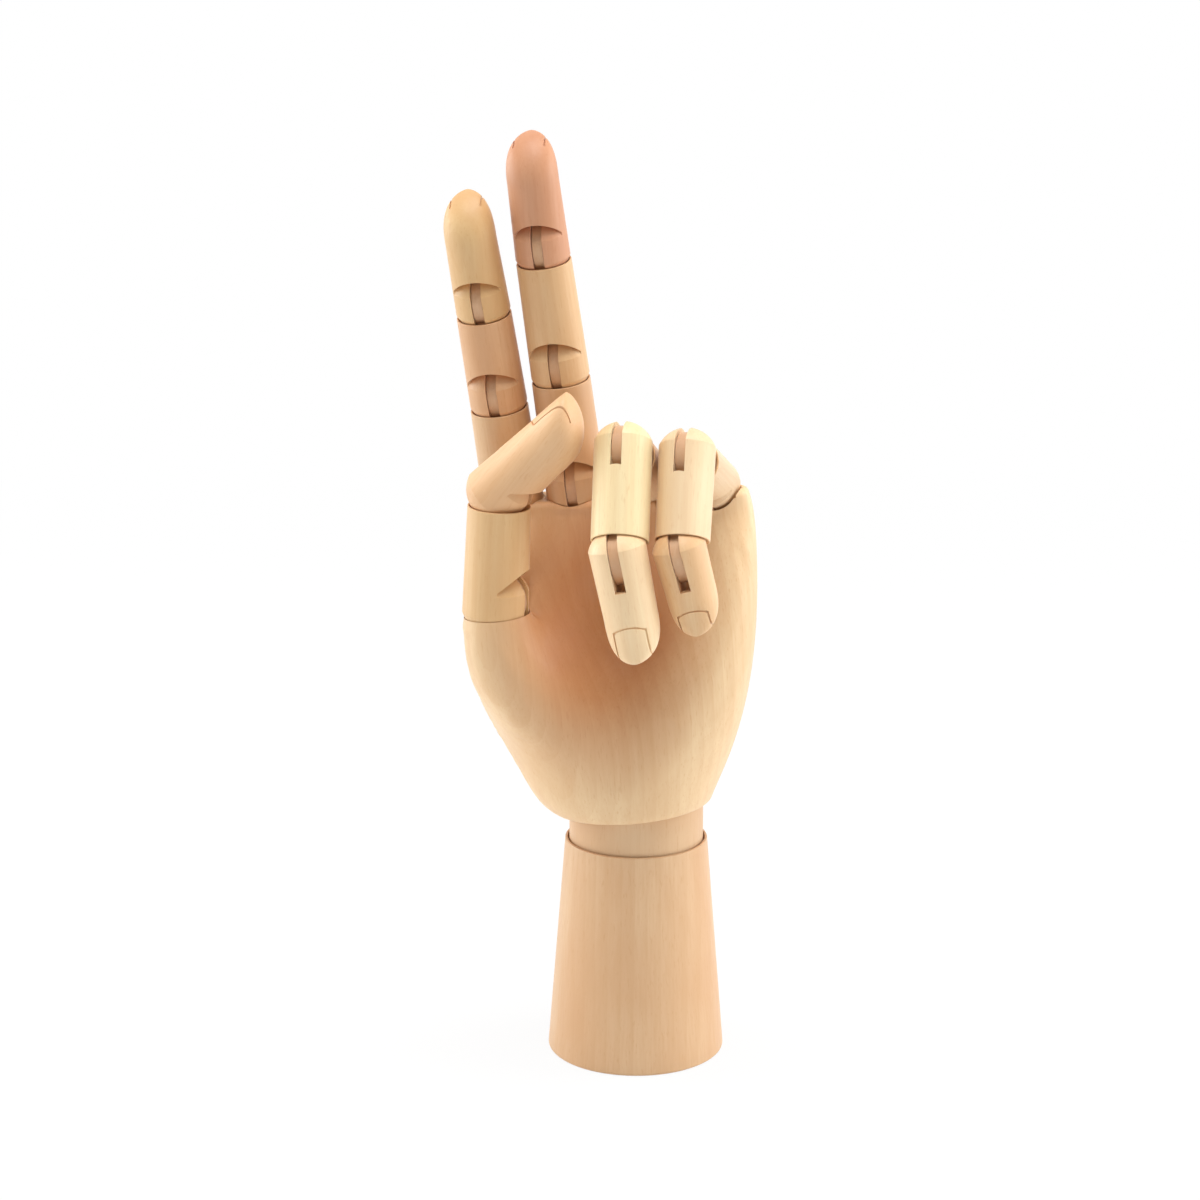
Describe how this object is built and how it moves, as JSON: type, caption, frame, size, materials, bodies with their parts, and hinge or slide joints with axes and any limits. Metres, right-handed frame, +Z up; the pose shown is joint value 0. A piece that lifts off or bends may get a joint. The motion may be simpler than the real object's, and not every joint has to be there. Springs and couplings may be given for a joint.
{
  "type": "jointed hand mannequin",
  "caption": "Wooden left hand on a tapered turned stand, with pinned tongue-and-slot finger hinges and a sprung ball wrist, posed with two fingers raised and the thumb folded across.",
  "frame": {"origin": "centre of the round underside that the stand rests on", "axes": "+Z up along the stand, -Y the way the palm faces, -X towards the thumb"},
  "size_m": [0.0796, 0.0691, 0.2501],
  "materials": {
    "stand_wood": "smooth, unvarnished",
    "palm_wood": "smooth, unvarnished",
    "finger_wood": "smooth, unvarnished",
    "tongue_wood": "sawn",
    "steel": "bright wire",
    "fibre": "pressed fibre"
  },
  "bodies": {
    "base": {"base": "stand_wood", "base_eye": "steel", "wrist_spring": "steel"},
    "neck": {"neck": "stand_wood"},
    "wrist_washer": {"wrist_washer": "fibre"},
    "palm": {"palm": "palm_wood", "palm_eye": "steel", "index_proximal_tongue": "tongue_wood", "middle_proximal_tongue": "tongue_wood", "ring_proximal_tongue": "tongue_wood", "little_proximal_tongue": "tongue_wood", "thumb_proximal_tongue": "tongue_wood"},
    "index_proximal": {"index_proximal": "finger_wood", "index_proximal_pin": "steel", "index_middle_tongue": "tongue_wood"},
    "index_middle": {"index_middle": "finger_wood", "index_middle_pin": "steel", "index_tip_tongue": "tongue_wood"},
    "index_tip": {"index_tip": "finger_wood", "index_tip_pin": "steel"},
    "middle_proximal": {"middle_proximal": "finger_wood", "middle_proximal_pin": "steel", "middle_middle_tongue": "tongue_wood"},
    "middle_middle": {"middle_middle": "finger_wood", "middle_middle_pin": "steel", "middle_tip_tongue": "tongue_wood"},
    "middle_tip": {"middle_tip": "finger_wood", "middle_tip_pin": "steel"},
    "ring_proximal": {"ring_proximal": "finger_wood", "ring_proximal_pin": "steel", "ring_middle_tongue": "tongue_wood"},
    "ring_middle": {"ring_middle": "finger_wood", "ring_middle_pin": "steel", "ring_tip_tongue": "tongue_wood"},
    "ring_tip": {"ring_tip": "finger_wood", "ring_tip_pin": "steel"},
    "little_proximal": {"little_proximal": "finger_wood", "little_proximal_pin": "steel", "little_middle_tongue": "tongue_wood"},
    "little_middle": {"little_middle": "finger_wood", "little_middle_pin": "steel", "little_tip_tongue": "tongue_wood"},
    "little_tip": {"little_tip": "finger_wood", "little_tip_pin": "steel"},
    "thumb_proximal": {"thumb_proximal": "finger_wood", "thumb_proximal_pin": "steel", "thumb_tip_tongue": "tongue_wood"},
    "thumb_tip": {"thumb_tip": "finger_wood", "thumb_tip_pin": "steel"}
  },
  "joints": [
    {"name": "wrist_swivel", "type": "hinge", "parent": "base", "child": "neck", "pos_m": [0, 0, 0.06], "axis": [0, 0, 1], "range_deg": [-45, 45]},
    {"name": "wrist_flexion", "type": "hinge", "parent": "neck", "child": "wrist_washer", "pos_m": [0, 0, 0.068], "axis": [1, 0, 0], "range_deg": [-18, 18]},
    {"name": "wrist_deviation", "type": "hinge", "parent": "wrist_washer", "child": "palm", "pos_m": [0, 0, 0.068], "axis": [0, 1, 0], "range_deg": [-7, 17]},
    {"name": "index_knuckle", "type": "hinge", "parent": "palm", "child": "index_proximal", "pos_m": [-0.03339, 0, 0.15472], "axis": [0.9943, 0, 0.1063], "range_deg": [-10.3, 13.7]},
    {"name": "index_mid_joint", "type": "hinge", "parent": "index_proximal", "child": "index_middle", "pos_m": [-0.03624, -0.00488, 0.18143], "axis": [0.9943, 0, 0.1063], "range_deg": [-2.9, 72.1]},
    {"name": "index_tip_joint", "type": "hinge", "parent": "index_middle", "child": "index_tip", "pos_m": [-0.03893, -0.01082, 0.2066], "axis": [0.9943, 0, 0.1063], "range_deg": [-2.3, 57.7]},
    {"name": "middle_knuckle", "type": "hinge", "parent": "palm", "child": "middle_proximal", "pos_m": [-0.01647, 0, 0.157], "axis": [0.9945, 0, 0.1045], "range_deg": [-8.7, 11.3]},
    {"name": "middle_mid_joint", "type": "hinge", "parent": "middle_proximal", "child": "middle_middle", "pos_m": [-0.01987, -0.00498, 0.18935], "axis": [0.9945, 0, 0.1045], "range_deg": [-2.1, 62.9]},
    {"name": "middle_tip_joint", "type": "hinge", "parent": "middle_middle", "child": "middle_tip", "pos_m": [-0.0232, -0.01105, 0.221], "axis": [0.9962, 0.0033, 0.0875], "range_deg": [-1.1, 58.9]},
    {"name": "ring_knuckle", "type": "hinge", "parent": "palm", "child": "ring_proximal", "pos_m": [0.00279, 0, 0.15768], "axis": [0.9938, -0.0698, 0.0869], "range_deg": [-61.8, 12.2]},
    {"name": "ring_mid_joint", "type": "hinge", "parent": "ring_proximal", "child": "ring_middle", "pos_m": [-0.00007, -0.02462, 0.17072], "axis": [0.9938, -0.0698, 0.0869], "range_deg": [-89, 1]},
    {"name": "ring_tip_joint", "type": "hinge", "parent": "ring_middle", "child": "ring_tip", "pos_m": [0.00109, -0.0381, 0.14655], "axis": [0.9798, -0.0056, 0.2001], "range_deg": [-29, 15]},
    {"name": "little_knuckle", "type": "hinge", "parent": "palm", "child": "little_proximal", "pos_m": [0.01943, 0, 0.15804], "axis": [0.9888, -0.1219, 0.0865], "range_deg": [-62.3, 9.7]},
    {"name": "little_mid_joint", "type": "hinge", "parent": "little_proximal", "child": "little_middle", "pos_m": [0.01585, -0.02127, 0.16901], "axis": [0.9888, -0.1219, 0.0865], "range_deg": [-89, 1]},
    {"name": "little_tip_joint", "type": "hinge", "parent": "little_middle", "child": "little_tip", "pos_m": [0.01632, -0.03361, 0.14625], "axis": [0.9653, -0.0244, 0.26], "range_deg": [-31, 11]},
    {"name": "thumb_base_joint", "type": "hinge", "parent": "palm", "child": "thumb_proximal", "pos_m": [-0.03371, -0.022, 0.1298], "axis": [0.173, 0.9848, 0.0151], "range_deg": [-7.9, 1.7]},
    {"name": "thumb_tip_joint", "type": "hinge", "parent": "thumb_proximal", "child": "thumb_tip", "pos_m": [-0.03226, -0.02271, 0.15965], "axis": [0.173, 0.9848, 0.0151], "range_deg": [-43.9, 4.1]}
  ]
}
